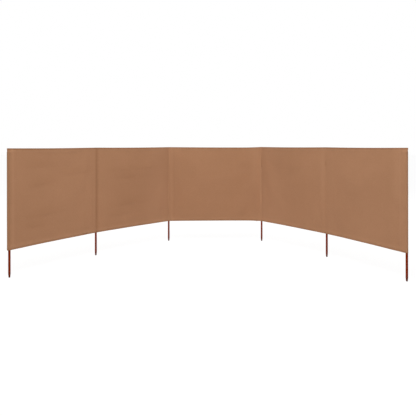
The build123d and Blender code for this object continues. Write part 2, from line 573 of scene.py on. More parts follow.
@dataclass(frozen=True)
class ClothScreen:
    """The surface of the whole screen, on which the bays, pockets and stitches are laid out."""

    plan: ScreenPlan
    drape: Drape
    pockets: tuple[PocketPlan, ...]  # layout of the pockets, from the left end
    painted_marks: tuple[PaintedLightMark, ...]  # painted shade and painted light on the front of the cloth
    hem_inset: float = 0.004  # from the inner edge of a hem to its stitches
    pocket_seam: float = 0.016  # half the width of cloth that the seam of a pocket gathers
    hem_seam: float = 0.014  # half the width that the seam of a hem or of a strip's edge gathers
    press_reach: float = 0.075  # how far along its bay the loop at an end of the screen is pressed flat
    press_back: float = 0.95  # share of the way back to the pole axes that it is pressed
    press_drop: float = 0.006  # from the upper edge down to where it lies quite flat
    crease_painted_shade: float = 45.0  # painted shade on the folds: how much darker they are for each metre that they stand out, and paler where they lie back
    top_darkening: float = 0.9  # how far the upper edge is darkened
    top_band: Pair = (0.02, 0.004)  # depths below that edge between which this fades
    foot_darkening: float = 0.8  # how far the lower edge is darkened
    foot_band: Pair = (0.003, 0.016)  # heights above that edge between which this fades
    hem_tone: float = -0.25  # how far the cloth above the lower edge is darkened, below 0 for paler
    hem_tone_band: Pair = (0.032, 0.016)  # height of its middle and half its width
    probe: float = 0.002  # distance over which the way that the cloth faces is measured

    @property
    def hem_lines(self) -> Pair:
        """Heights of the stitches of the two hems above the lower edge."""
        plan = self.plan
        return plan.bottom_hem - self.hem_inset, plan.height - plan.top_hem + self.hem_inset

    def point(self, spot: ScreenSpot, ply: float = 0.0) -> Vector:
        """A point on the cloth.

        Args:
            spot: The place on the screen.
            ply: Number of layers behind the front one.

        Returns:
            The point on the middle of that layer.
        """
        plan, (bay, run, height) = self.plan, spot
        rise = self.drape.swell(spot) + self.pucker(spot)
        offset = plan.face_offset - ply * plan.ply_gap + rise
        place = plan.line(bay, run, offset)
        pressed, back = self.press(spot)
        if pressed:
            place = place.lerp(plan.straight(bay, run, offset - back), pressed)
        place.z = plan.bottom + height + self.drape.lift(spot)
        return place

    def pucker(self, spot: ScreenSpot) -> float:
        """How far the cloth rises where a seam gathers it, in short waves across the seam.

        Args:
            spot: The place on the screen.

        Returns:
            The distance towards the front.
        """
        bay, run, height = spot
        along = bay * self.plan.pitch + run
        rise = gather(along, height, self.beside_pocket_seam(bay, run))
        return rise + gather(height, along, self.beside_hem_seam(height))

    def press(self, spot: ScreenSpot) -> Pair:
        """How the loop of an end pole is pressed flat above the top of the pole.

        Args:
            spot: The place on the screen.

        Returns:
            The share by which it is pressed flat, and how far the flat cloth falls back.
        """
        plan = self.plan
        for end, away in ((0, spot.run), (plan.last_bay, plan.pitch - spot.run)):
            if spot.bay == end and away < self.press_reach:
                share = smooth(plan.pole_end, plan.height - self.press_drop, spot.height)
                near = 1 - smooth(0.0, self.press_reach, away)
                return share, self.press_back * plan.face_offset * near
        return 0.0, 0.0

    def facing(self, spot: ScreenSpot) -> Vector:
        """Unit vector out of the front of the cloth.

        Args:
            spot: The place on the screen.

        Returns:
            The vector.
        """
        (bay, run, height), step = spot, self.probe
        left, right = (self.point(ScreenSpot(bay, run + way * step, height)) for way in (-1, 1))
        low, high = (self.point(ScreenSpot(bay, run, height + way * step)) for way in (-1, 1))
        return (right - left).cross(high - low).normalized()

    def face(self, bay: int, run: float, height: float, ply: int = 0, way: int = 1) -> FacePoint:
        """A point on a face of the cloth.

        Args:
            bay: The bay, from 0.
            run: Distance along the bay from its left pole.
            height: Height above the lower edge of the cloth.
            ply: Number of layers behind the front one.
            way: 1 for the face to the front, and -1 for the face to the back.

        Returns:
            The point, and the way that the face looks.
        """
        spot = ScreenSpot(bay, run, height)
        out = self.facing(spot) * way
        return self.point(spot, ply) + out * (self.plan.cloth_gauge / 2), out

    def shade(self, spot: ScreenSpot) -> float:
        """How far the cloth is darkened or lightened: along its edges, and by painted shade and painted
        light on the folds and beside the poles.

        Args:
            spot: The place on the screen.

        Returns:
            Above 0 darker, up to 1, and below 0 paler.
        """
        (bay, run, height), full = spot, self.plan.height
        # darker upper and lower edges, and a paler band above the lower edge
        total = self.top_darkening * smooth(full - self.top_band[0], full - self.top_band[1], height)
        total += self.foot_darkening * (1 - smooth(*self.foot_band, height))
        total += self.hem_tone * bell(height - self.hem_tone_band[0], self.hem_tone_band[1])
        # painted shade on the folds, and painted light where they lie back
        total += self.crease_painted_shade * self.drape.creased(spot)
        # painted shade and painted light beside the poles
        for mark in self.painted_marks:
            if mark.pole in (bay, bay + 1):
                total += mark.at(run - (mark.pole - bay) * self.plan.pitch, height)
        return total

    def beside_pocket_seam(self, bay: int, run: float) -> float:
        """How near a point along a bay is to the stitches of a pocket.

        Args:
            bay: The bay, from 0.
            run: Distance along the bay from its left pole.

        Returns:
            Up to 1 on the stitches.
        """
        left = run - self.pockets[bay].stitch_line(Side.RIGHT)
        right = self.plan.pitch - run - self.pockets[bay + 1].stitch_line(Side.LEFT)
        return bell(left, self.pocket_seam) + bell(right, self.pocket_seam)

    def beside_hem_seam(self, height: float) -> float:
        """How near a height is to the stitches of a hem, up to 1 on them."""
        return sum(bell(height - line, self.hem_seam) for line in self.hem_lines)


class NodeBoard:
    """A shader node tree with short calls to add nodes and join them."""

    def __init__(self, tree: bpy.types.NodeTree) -> None:
        """Work on the given tree."""
        self.tree = tree

    def fill(self, node: bpy.types.Node, inputs: dict[Any, Any]) -> None:
        """Join sockets to the inputs of a node, or set their values.

        Args:
            node: The node.
            inputs: Sockets or values, by the name or number of the input; a colour has three values.
        """
        for key, value in inputs.items():
            socket = node.inputs[key]
            if isinstance(value, bpy.types.NodeSocket):
                self.tree.links.new(value, socket)
            else:
                socket.default_value = (*value, 1) if socket.type == "RGBA" else value

    def add(self, kind: str, inputs: dict[Any, Any] | None = None, **settings: Any) -> bpy.types.Node:
        """Add a node.

        Args:
            kind: The node's type.
            inputs: Sockets or values for its inputs, as for fill.
            settings: Values for its own properties.

        Returns:
            The node.
        """
        node = self.tree.nodes.new(kind)
        for name, value in settings.items():
            setattr(node, name, value)
        self.fill(node, inputs or {})
        return node

    def group(self, tree: bpy.types.NodeTree, **inputs: Any) -> Any:
        """Outputs of a node group with the given inputs."""
        return self.add("ShaderNodeGroup", inputs, node_tree=tree).outputs

    def place(self) -> bpy.types.NodeSocket:
        """Object coordinates."""
        return self.add("ShaderNodeTexCoord").outputs["Object"]

    def attribute(self, name: str) -> bpy.types.NodeSocket:
        """Value of an attribute of the mesh."""
        return self.add("ShaderNodeAttribute", attribute_name=name).outputs["Fac"]

    def math(self, operation: str, *values: Any) -> bpy.types.NodeSocket:
        """Result of a Math node on the given values or sockets."""
        return self.add("ShaderNodeMath", dict(enumerate(values)), operation=operation).outputs[0]

    def blend(self, factor: Any, first: Any, second: Any) -> bpy.types.NodeSocket:
        """Colour that goes from first to second as the factor goes from 0 to 1."""
        node = self.add("ShaderNodeMix", {0: factor, 6: first, 7: second}, data_type="RGBA")
        return node.outputs[2]

    def spread(self, value: Any, low: float, high: float, to: Pair = (0.0, 1.0)) -> bpy.types.NodeSocket:
        """Value carried from the span between low and high to another."""
        return self.add("ShaderNodeMapRange", {0: value, 1: low, 2: high, 3: to[0], 4: to[1]}).outputs[0]

    def noise(self, vector: Any, scale: Any, detail: float) -> bpy.types.NodeSocket:
        """Value of a noise texture."""
        wanted = {"Vector": vector, "Scale": scale, "Detail": detail}
        return self.add("ShaderNodeTexNoise", wanted).outputs["Fac"]

    def drawn_noise(self, vector: Any, scale: Triple, detail: float) -> bpy.types.NodeSocket:
        """Value of a noise texture with a scale of its own on each axis."""
        drawn = self.add("ShaderNodeMapping", {"Vector": vector, "Scale": scale}).outputs[0]
        return self.noise(drawn, 1.0, detail)

    def bump(self, strength: float, depth: float, height: Any, **under: Any) -> bpy.types.NodeSocket:
        """Normal of a relief, on top of the Normal under it where one is given."""
        wanted = {"Strength": strength, "Distance": depth, "Height": height, **under}
        return self.add("ShaderNodeBump", wanted).outputs[0]


def new_group(name: str, number: str, outputs: tuple[str, ...]) -> tuple[NodeBoard, Any, bpy.types.Node]:
    """Start a shader node group that takes coordinates and one number.

    Args:
        name: Its name.
        number: Name of the number.
        outputs: Names of its outputs, all plain values.

    Returns:
        Its node board, the sockets that give its inputs and the node that takes its outputs.
    """
    board = NodeBoard(bpy.data.node_groups.new(name, "ShaderNodeTree"))
    sockets = [("Vector", "INPUT", "NodeSocketVector"), (number, "INPUT", "NodeSocketFloat")]
    sockets += [(label, "OUTPUT", "NodeSocketFloat") for label in outputs]
    for label, way, kind in sockets:
        board.tree.interface.new_socket(label, in_out=way, socket_type=kind)
    return board, board.add("NodeGroupInput").outputs, board.add("NodeGroupOutput")


def plain_weave() -> bpy.types.NodeTree:
    """Build the node group of a plain weave: threads that pass over and under one by one.

    Returns:
        The group.
    """
    board, given, out = new_group("plain_weave", "Pitch", ("Height", "Tone"))
    count = board.math("DIVIDE", 1.0, given["Pitch"])
    scaled = board.add("ShaderNodeVectorMath", {0: given["Vector"], "Scale": count}, operation="SCALE")
    axes = board.add("ShaderNodeSeparateXYZ", {0: scaled.outputs[0]}).outputs
    rounds, numbers, tones = [], [], []
    for axis in ("X", "Y"):
        wave = board.math("SINE", board.math("MULTIPLY", axes[axis], math.pi))
        rounds.append(board.math("ABSOLUTE", wave))
        numbers.append(board.math("FLOOR", axes[axis]))
        wanted = {"W": board.math("ADD", numbers[-1], 0.5)}
        tones.append(board.add("ShaderNodeTexWhiteNoise", wanted, noise_dimensions="1D").outputs["Value"])
    over = board.math("FLOORED_MODULO", board.math("ADD", *numbers), 2.0)
    for label, (warp, weft) in (("Height", rounds), ("Tone", tones)):
        chosen = board.add("ShaderNodeMix", {0: over, 2: warp, 3: weft}, data_type="FLOAT")
        board.fill(out, {label: chosen.outputs[0]})
    return board.tree


# How much closer the fine clouds of a tone lie than the broad ones, the shares of the two, and the values
# between which the tone runs from 0 to 1
CLOUD_FINER = 6.3
CLOUD_SHARES = (0.65, 0.35)
CLOUD_SPAN = (0.32, 0.68)


def cloudy_tone() -> bpy.types.NodeTree:
    """Build the node group of the slow, cloudy unevenness of a dye or a stain.

    Returns:
        The group.
    """
    board, given, out = new_group("cloudy_tone", "Scale", ("Tone",))
    broad = board.noise(given["Vector"], given["Scale"], detail=2.0)
    finer = board.math("MULTIPLY", given["Scale"], CLOUD_FINER)
    close = board.noise(given["Vector"], finer, detail=4.0)
    parts = [board.math("MULTIPLY", value, share) for value, share in zip((broad, close), CLOUD_SHARES)]
    board.fill(out, {"Tone": board.spread(board.math("ADD", *parts), *CLOUD_SPAN)})
    return board.tree


@dataclass(frozen=True)
class EffectGroups:
    """The node groups that the finishes share."""

    weave: bpy.types.NodeTree
    cloudy: bpy.types.NodeTree


def new_material(name: str) -> tuple[bpy.types.Material, NodeBoard, bpy.types.Node]:
    """Start a material.

    Args:
        name: Its name.

    Returns:
        The material, its node board and its Principled shader.
    """
    material = bpy.data.materials.new(name)
    material.use_nodes = True
    return material, NodeBoard(material.node_tree), material.node_tree.nodes["Principled BSDF"]


@dataclass(frozen=True)
class ClothFinish:
    """Plain-woven outdoor cloth, dyed in one colour."""

    light: Colour = (0.396, 0.205, 0.112)  # colour where the dye is thinnest
    dark: Colour = (0.326, 0.166, 0.088)  # colour where it is deepest
    darker_with_painted_shade: Colour = (0.262, 0.124, 0.061)  # colour towards which the cloth is darkened: painted shade beside the poles and on the folds, and the darker upper and lower edges
    pale: Colour = (0.430, 0.230, 0.130)  # colour towards which it is lightened: painted light beside the poles and where folds lie back, and the paler band above the lower edge
    pitch: float = 0.0009  # from thread to thread
    clouds: float = 1.7  # scale of the dye's unevenness
    slubs: Pair = (38.0, 360.0)  # scales of the yarn's thick places, along it and across it
    gathers: Pair = (75.0, 20.0)  # scales of the waves beside a seam, along it and across it
    shares: Triple = (0.30, 0.45, 0.25)  # parts of the clouds, the slubs and the single threads in the tone
    slub_span: Pair = (0.38, 0.62)  # values of the slubs between which their part of the tone runs
    slub_relief: float = 1.5  # how much higher the slubs stand than the single threads
    matt_span: Pair = (0.3, 0.7)  # values of the slubs between which the roughness runs
    rough: Pair = (0.95, 0.82)  # roughness at those two values

    def material(self, groups: EffectGroups) -> bpy.types.Material:
        """The finish as a material.

        Args:
            groups: The shared node groups.

        Returns:
            The material, which reads the UV map cut and the attributes shade, lengthwise and crosswise.
        """
        made, board, shader = new_material("screen_cloth")
        cut = board.add("ShaderNodeUVMap", uv_map="cut").outputs[0]
        weave = board.group(groups.weave, Vector=cut, Pitch=self.pitch)
        cloudy = board.group(groups.cloudy, Vector=board.place(), Scale=self.clouds)
        (along, across), (close, wide) = self.slubs, self.gathers
        weft = board.drawn_noise(cut, (along, across, 1.0), detail=3.0)
        warp = board.drawn_noise(cut, (across, along, 1.0), detail=3.0)
        slub = board.math("MULTIPLY", board.math("ADD", weft, warp), 0.5)
        tone = board.math("MULTIPLY", cloudy["Tone"], self.shares[0])
        tone = board.math("MULTIPLY_ADD", board.spread(slub, *self.slub_span), self.shares[1], tone)
        tone = board.math("MULTIPLY_ADD", weave["Tone"], self.shares[2], tone)
        shade, dyed = board.attribute("shade"), board.blend(tone, self.dark, self.light)
        # The shade attribute brings painted shade above 0 and painted light below 0, with the darker edges
        # and the paler band near the foot
        darker_with_painted_shade = board.blend(board.spread(shade, 0.0, 1.0), dyed, self.darker_with_painted_shade)
        puckers = []
        for seam, scale in (("lengthwise", (close, wide, 1.0)), ("crosswise", (wide, close, 1.0))):
            waves = board.drawn_noise(cut, scale, detail=1.0)
            puckers.append(board.math("MULTIPLY", board.attribute(seam), waves))
        gathered = board.bump(strength=0.6, depth=0.002, height=board.math("ADD", *puckers))
        relief = board.math("MULTIPLY_ADD", slub, self.slub_relief, weave["Height"])
        surface = {
            "Base Color": board.blend(board.spread(shade, 0.0, -1.0), darker_with_painted_shade, self.pale),
            "Roughness": board.spread(slub, *self.matt_span, to=self.rough),
            "Normal": board.bump(strength=0.4, depth=0.0003, height=relief, Normal=gathered),
            "Sheen Weight": 0.02,
            "Sheen Roughness": 0.5,
            "Specular IOR Level": 0.1,
        }
        board.fill(shader, surface)
        return made


@dataclass(frozen=True)
class ThreadFinish:
    """Matt sewing thread."""

    light: Colour = (0.300, 0.145, 0.080)  # colour on the plies of the thread
    dark: Colour = (0.205, 0.095, 0.050)  # colour between them
    clouds: float = 140.0  # scale of the dye's unevenness
    twist: float = 1800.0  # scale of the plies

    def material(self, groups: EffectGroups) -> bpy.types.Material:
        """The finish as a material.

        Args:
            groups: The shared node groups.

        Returns:
            The material.
        """
        made, board, shader = new_material("sewing_thread")
        place = board.place()
        cloudy = board.group(groups.cloudy, Vector=place, Scale=self.clouds)
        plies = board.noise(place, self.twist, detail=1.0)
        surface = {
            "Base Color": board.blend(cloudy["Tone"], self.dark, self.light),
            "Roughness": 0.7,
            "Normal": board.bump(strength=0.3, depth=0.0002, height=plies),
        }
        board.fill(shader, surface)
        return made


@dataclass(frozen=True)
class StainedWoodFinish:
    """Softwood dowel under a red-brown stain, soiled at the foot."""

    light: Colour = (0.225, 0.027, 0.003)  # colour of the pale early wood under the stain
    middle: Colour = (0.165, 0.014, 0.001)  # colour of most of the pole
    dark: Colour = (0.085, 0.007, 0.001)  # colour in the pores and along the late wood
    soil: Colour = (0.050, 0.009, 0.002)  # colour of the foot that goes into the ground
    soil_height: float = 0.075  # height up to which the foot is soiled
    full_soil: float = 0.01  # height below which it is soiled most
    soil_share: float = 0.8  # how far the soil covers the stain there
    ragged: float = 0.03  # how far up the pores carry it
    pore_share: float = 0.7  # how far the stain darkens the pores
    pooling: float = 0.3  # how far the stain evens out the grain
    clouds: float = 9.0  # scale of the stain's unevenness
    figure: Triple = (95.0, 95.0, 2.2)  # scales of the grain on the three axes
    pores: Triple = (900.0, 900.0, 16.0)  # scales of the pores on the three axes
    figure_span: Pair = (0.38, 0.68)  # values of the grain between which the colour turns pale
    pore_span: Pair = (0.52, 0.74)  # values of the pores between which it turns dark
    figure_relief: float = 0.5  # how high the grain stands against the pores
    rough: float = 0.5  # roughness of the clean stain between the pores
    soil_rough: float = 0.2  # how much rougher the soil is
    pore_rough: float = 0.25  # how much rougher the pores are

    def material(self, groups: EffectGroups) -> bpy.types.Material:
        """The finish as a material.

        Args:
            groups: The shared node groups.

        Returns:
            The material, with its grain along the height of the poles.
        """
        made, board, shader = new_material("stained_pole")
        place = board.place()
        figure = board.drawn_noise(place, self.figure, detail=3.0)
        pores = board.drawn_noise(place, self.pores, detail=4.0)
        cloudy = board.group(groups.cloudy, Vector=place, Scale=self.clouds)
        body = board.blend(board.spread(figure, *self.figure_span), self.middle, self.light)
        depth = board.math("MULTIPLY", board.spread(pores, *self.pore_span), self.pore_share)
        grained = board.blend(depth, body, self.dark)
        pooled = board.blend(board.math("MULTIPLY", cloudy["Tone"], self.pooling), grained, self.middle)
        height = board.add("ShaderNodeSeparateXYZ", {0: place}).outputs["Z"]
        ragged = board.math("MULTIPLY_ADD", pores, self.ragged, height)
        soiled = board.spread(ragged, self.soil_height, self.full_soil)
        rough = board.math("MULTIPLY_ADD", soiled, self.soil_rough, self.rough)
        relief = board.math("MULTIPLY_ADD", figure, self.figure_relief, pores)
        surface = {
            "Base Color": board.blend(board.math("MULTIPLY", soiled, self.soil_share), pooled, self.soil),
            "Roughness": board.math("MULTIPLY_ADD", pores, self.pore_rough, rough),
            "Normal": board.bump(strength=0.25, depth=0.0004, height=relief),
            "Specular IOR Level": 0.04,
        }
        board.fill(shader, surface)
        return made


def add_piece(
    name: str,
    mesh: bpy.types.Mesh,
    material: bpy.types.Material,
    nodes: tuple[str, ...] = (),
    gauge: float = 0.0,
) -> bpy.types.Object:
    """Make a finished piece of a mesh and set it on the screen's one body.

    Args:
        name: Name of the piece.
        mesh: Its mesh, in place.
        material: Its finish.
        nodes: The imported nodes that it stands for.
        gauge: Thickness to give a sheet, or 0.

    Returns:
        The piece.
    """
    mesh.materials.append(material)
    mesh.shade_smooth()
    piece = set_up(name, mesh)
    if gauge:
        wall = piece.modifiers.new("cloth_gauge", "SOLIDIFY")
        wall.thickness, wall.offset, wall.use_even_offset = gauge, 0.0, True
        piece.modifiers.new("even_shading", "WEIGHTED_NORMAL")
    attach(piece, BODY)
    if nodes:
        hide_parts(*nodes)
    log.info("%s: %d faces", name, len(mesh.polygons))
    return piece


@dataclass(frozen=True)
class SheetSpot:
    """Where one point of a sheet's grid goes."""

    place: Vector  # its place
    cut: Pair  # its place on the flat cut, in metres
    shade: float  # how far the cloth is darkened there
    lengthwise: float  # how near it is to a seam along the cut's first axis, up to 1
    crosswise: float  # how near it is to a seam along the cut's second axis, up to 1


def sheet_mesh(name: str, columns: int, rows: int, lay: Callable[[int, int], SheetSpot]) -> bpy.types.Mesh:
    """Lay a grid of cloth over a surface.

    Args:
        name: Name of the mesh.
        columns: Number of faces across.
        rows: Number of faces up.
        lay: Gives the place of the point in a column and a row.

    Returns:
        The mesh, with its flat cut as a UV map, and its shade and seams as attributes.
    """
    shell = bmesh.new()
    bmesh.ops.create_grid(shell, x_segments=columns, y_segments=rows, size=0.5)
    values = ("shade", "lengthwise", "crosswise")
    for value in values:
        shell.verts.layers.float.new(value)
    layers = {value: shell.verts.layers.float[value] for value in values}
    cut = shell.loops.layers.uv.new("cut")
    spots = [lay(round((v.co.x + 0.5) * columns), round((v.co.y + 0.5) * rows)) for v in shell.verts]
    shell.verts.index_update()
    for vert, spot in zip(shell.verts, spots):
        vert.co = spot.place
        for value, layer in layers.items():
            vert[layer] = getattr(spot, value)
    for face in shell.faces:
        for loop in face.loops:
            loop[cut].uv = spots[loop.vert.index].cut
    return mesh_of(name, shell)


@dataclass
class StitchRow:
    """A row of machine stitches along a line on the cloth."""

    length: float = 0.0034  # length of the part of a stitch that shows
    pitch: float = 0.0043  # from stitch to stitch
    radius: float = 0.00033  # half the thickness of the thread
    stand: float = 0.6  # share of that half by which a stitch's middle stands off the cloth

    def stitches(self, line: Callable[[float], FacePoint], start: float, end: float) -> list[Matrix]:
        """Places of the stitches of one row.

        Args:
            line: Gives the point on the cloth's face at a distance, and the way the face looks.
            start: Distance of the beginning of the row.
            end: Distance of its end.

        Returns:
            For each stitch, the matrix that gives a ball of radius 1 its shape and place.
        """
        count = max(int((end - start) / self.pitch), 1)
        bodies = []
        for number in range(count):
            middle = start + (number + 0.5) * (end - start) / count
            (back, out), (ahead, _) = line(middle - self.length / 2), line(middle + self.length / 2)
            along = ahead - back
            side = out.cross(along).normalized()
            body = Matrix((along / 2, side * self.radius, out * self.radius)).transposed().to_4x4()
            body.translation = (back + ahead) / 2 + out * (self.stand * self.radius)
            bodies.append(body)
        return bodies

    def piece(self, name: str, bodies: list[Matrix], material: bpy.types.Material) -> bpy.types.Object:
        """One piece of many stitches, each a copy of one small spindle.

        Args:
            name: Name of the piece.
            bodies: The stitches, as stitches gives them.
            material: Finish of the thread.

        Returns:
            The piece.
        """
        shell = bmesh.new()
        bmesh.ops.create_icosphere(shell, subdivisions=1, radius=1.0)
        spindle, shell = mesh_of("spindle", shell), bmesh.new()
        for body in bodies:
            stitch = spindle.copy()
            stitch.transform(body)
            shell.from_mesh(stitch)
            bpy.data.meshes.remove(stitch)
        bpy.data.meshes.remove(spindle)
        return add_piece(name, mesh_of(name, shell), material)


class Course(NamedTuple):
    """One row of points along a folded cut of cloth."""

    height: float  # height above the lower edge of the screen
    ply: float  # number of layers behind the front one
    length: float  # distance along the cut from its lowest edge


@dataclass
class ClothBay:
    """One bay of the screen: a single cut of cloth with its top and bottom edges folded to the back."""

    screen: ClothScreen
    bay: int  # the bay, from 0
    columns: int = 170  # number of faces along the bay
    rows: int = 112  # number of faces up its front
    fold_rows: int = 6  # number of faces round a fold
    hem_rows: int = 6  # number of faces up a hem
    crowding: float = 0.4  # how much closer the columns stand beside the poles than in the middle
    stitch_stop: float = 0.002  # from the ends of the cloth to the ends of the rows of stitches

    def courses(self) -> list[Course]:
        """Rows of points from the inner edge of the bottom hem, up the front, to that of the top hem.

        Returns:
            The rows in order.
        """
        plan = self.screen.plan
        bend = plan.ply_gap / 2
        low, high = bend, plan.height - bend

        def flat(start: float, end: float, ply: float, count: int) -> list[Pair]:
            """Heights and layers of even rows that begin at one height and stop before another."""
            return [(lerp(start, end, k / count), ply) for k in range(count)]

        def fold(height: float, way: int) -> list[Pair]:
            """Heights and layers of rows round a fold, 1 for the way up or -1 for the way down."""
            turns = [math.pi * k / self.fold_rows for k in range(self.fold_rows)]
            return [(height + way * bend * math.sin(t), (1 - way * math.cos(t)) / 2) for t in turns]

        steps = flat(plan.bottom_hem, low, 1.0, self.hem_rows) + fold(low, -1)
        steps += flat(low, high, 0.0, self.rows) + fold(high, 1)
        inner = plan.height - plan.top_hem
        steps += [*flat(high, inner, 1.0, self.hem_rows), (inner, 1.0)]
        courses = [Course(*steps[0], 0.0)]
        for height, ply in steps[1:]:
            last = courses[-1]
            step = math.hypot(height - last.height, (ply - last.ply) * plan.ply_gap)
            courses.append(Course(height, ply, last.length + step))
        return courses

    def cloth(self, material: bpy.types.Material) -> bpy.types.Object:
        """Build the cloth of the bay.

        Args:
            material: Its finish.

        Returns:
            The piece.
        """
        screen, plan, courses = self.screen, self.screen.plan, self.courses()

        def lay(column: int, row: int) -> SheetSpot:
            """Lay a point of the grid.

            Args:
                column: Its column.
                row: Its row.

            Returns:
                Its place and what the cloth shows there.
            """
            height, ply, length = courses[row]
            share = column / self.columns
            share -= self.crowding * math.sin(2 * math.pi * share) / (2 * math.pi)
            run = lerp(*plan.stops(self.bay, plan.face_offset - ply * plan.ply_gap), share)
            spot = ScreenSpot(self.bay, run, height)
            return SheetSpot(
                place=screen.point(spot, ply),
                cut=(self.bay * plan.pitch + run, length),
                shade=screen.shade(spot),
                lengthwise=screen.beside_hem_seam(height),
                crosswise=screen.beside_pocket_seam(self.bay, run),
            )

        number = self.bay + 1
        name = f"bay_{number}_cloth"
        nodes = (f"panel_{number}", f"top_hem_{number}", f"bottom_hem_{number}")
        mesh = sheet_mesh(name, self.columns, len(courses) - 1, lay)
        piece = add_piece(name, mesh, material, nodes, plan.cloth_gauge)
        left, right = plan.stops(self.bay, plan.face_offset)
        return piece

    def stitching(self, row: StitchRow, material: bpy.types.Material) -> bpy.types.Object:
        """Sew the two hems, with stitches on the front and the back.

        Args:
            row: The kind of stitch.
            material: Finish of the thread.

        Returns:
            The piece.
        """
        screen, plan, bodies = self.screen, self.screen.plan, []
        left, right = plan.stops(self.bay, plan.face_offset)
        front, back = (left, right), (max(left, 0.0), min(right, plan.pitch))
        for height in screen.hem_lines:
            for ply, way, (start, end) in ((0, 1, front), (1, -1, back)):
                line = partial(screen.face, self.bay, height=height, ply=ply, way=way)
                bodies += row.stitches(line, start + self.stitch_stop, end - self.stitch_stop)
        return row.piece(f"bay_{self.bay + 1}_stitches", bodies, material)


@dataclass
class PolePocket:
    """A strip of cloth drawn round the back of a pole and sewn to the screen on either side of it.

    At an end of the screen the cloth itself folds round the pole, and the strip is sewn on one side only.
    """

    screen: ClothScreen
    pole: int  # the pole, from 0
    step: float = 0.004  # length of a face across the strip
    loop_finer: int = 2  # how many times finer the faces round the pole are
    loop_faces: int = 4  # least number of them
    rows: int = 112  # number of faces up the strip
    close_drop: float = 0.006  # from the top of the screen to the top of the strip
    flat_drop: float = 0.004  # from there down to where the strip lies quite flat
    flat_ply: float = 2.0  # number of layers in front of it where it does
    fold_power: float = 2.2  # how much the flat cloth crowds towards the fold at an end of the screen
    fold_share: float = 0.15  # share of the strip from that fold over which it passes behind the top hem
    wave: float = 0.0026  # height of the waves in the loose cloth round the pole
    # How close they lie across the strip and up it, and how far they move on from pole to pole
    waves: Triple = (9.0, 7.5, 4.4)
    # How much smaller the waves among them are, and how much closer they lie
    small_waves: Pair = (0.5, 2.7)
    loose_from: Pair = (0.08, 0.2)  # shares of the strip from its edges between which the waves rise
    hem_ease: float = 0.012  # height above the bottom hem over which the strip draws in again
    end_ease: float = 0.3  # share of the strip from an end fold over which it makes room for that hem
    foot_darkening: float = 0.4  # how far its lower edge is darkened
    foot_band: float = 0.008  # height over which this fades
    cut_step: float = 3.1  # from one strip to the next on the flat cut
    foot_stop: float = 0.004  # from the lower edge to the first stitch of a seam
    stitch_stop: float = 0.003  # from the edges of the strip to the stitches across it

    @property
    def layout(self) -> PocketPlan:
        """Layout of the pocket."""
        return self.screen.pockets[self.pole]

    @property
    def full(self) -> float:
        """Height of the strip."""
        return self.screen.plan.height - self.close_drop

    def bay_on(self, side: Side) -> int | None:
        """The bay on one side of the pole, or None past an end of the screen."""
        bay = self.pole if side is Side.RIGHT else self.pole - 1
        return bay if 0 <= bay <= self.screen.plan.last_bay else None

    def away(self, side: Side) -> Vector:
        """Unit vector along the bay on one side of the pole, away from the pole."""
        return self.screen.plan.heading(self.bay_on(side)) * side.value

    @cached_property
    def open_side(self) -> Side | None:
        """The side on which the screen ends at this pole, if it does."""
        return next((side for side in Side if self.bay_on(side) is None), None)

    @property
    def looseness(self) -> float:
        """How far the loop hangs out past the pole at an end of the screen."""
        return self.open_side.of(self.screen.plan.end_looseness) if self.open_side else 0.0

    def from_end(self, share: float) -> float:
        """Share of the way across the strip, counted from its right edge where the screen ends there."""
        return 1 - share if self.open_side is Side.RIGHT else share

    @cached_property
    def centre(self) -> Vector:
        """Middle of the loop about the pole's axis, off it only at an end of the screen.

        Returns:
            The point, in plan.
        """
        if not self.open_side:
            return Vector((0, 0, 0))
        plan, bay = self.screen.plan, self.bay_on(self.layout.wide_side)
        out = plan.face_offset - plan.loop_radius(self.looseness)
        return self.away(self.layout.wide_side) * -self.looseness + plan.sheltered(bay) * out

    def leg(self, side: Side) -> list[Vector]:
        """One side of the strip in plan.

        Args:
            side: The side of the pole.

        Returns:
            Points about the pole's axis, from where the cloth leaves the loop to the edge of the strip.
        """
        plan, layout, bay = self.screen.plan, self.layout, self.bay_on(side)
        if bay is None:
            bay, reach = self.bay_on(layout.wide_side), side.of(plan.end_reaches)
            run = plan.pitch + reach if side is Side.RIGHT else -reach
            return [plan.line(bay, run, plan.face_offset) - plan.poles[self.pole]]
        radius, away = plan.loop_radius(self.looseness), self.away(side)
        seam = away * layout.span(side) + plan.sheltered(bay) * (plan.face_offset - plan.ply_gap)
        drawn = seam - self.centre
        swing = math.acos(radius / drawn.length) * side.value
        touch = self.centre + Matrix.Rotation(swing, 3, "Z") @ drawn.normalized() * radius
        return [touch, seam, seam + away * layout.allowance]

    @cached_property
    def outline(self) -> list[Vector]:
        """The strip in plan about the pole's axis, in short steps.

        Returns:
            Points from its left edge to its right edge.
        """
        left, right = self.leg(Side.LEFT), self.leg(Side.RIGHT)
        first, last = left[0] - self.centre, right[0] - self.centre
        turn = first.angle(last)
        count = max(int(turn * first.length / self.step * self.loop_finer), self.loop_faces)
        loop = [Matrix.Rotation(-turn * k / count, 3, "Z") @ first + self.centre for k in range(1, count)]
        points = [*reversed(left), *loop, *right]
        fine = [points[0]]
        for start, end in zip(points, points[1:]):
            parts = max(round((end - start).length / self.step), 1)
            fine += [start.lerp(end, k / parts) for k in range(1, parts + 1)]
        return fine

    @cached_property
    def lengths(self) -> list[float]:
        """Distances of the points of the outline from the left edge of the strip.

        Returns:
            The distance of each point.
        """
        lengths = [0.0]
        for start, end in zip(self.outline, self.outline[1:]):
            lengths.append(lengths[-1] + (end - start).length)
        return lengths

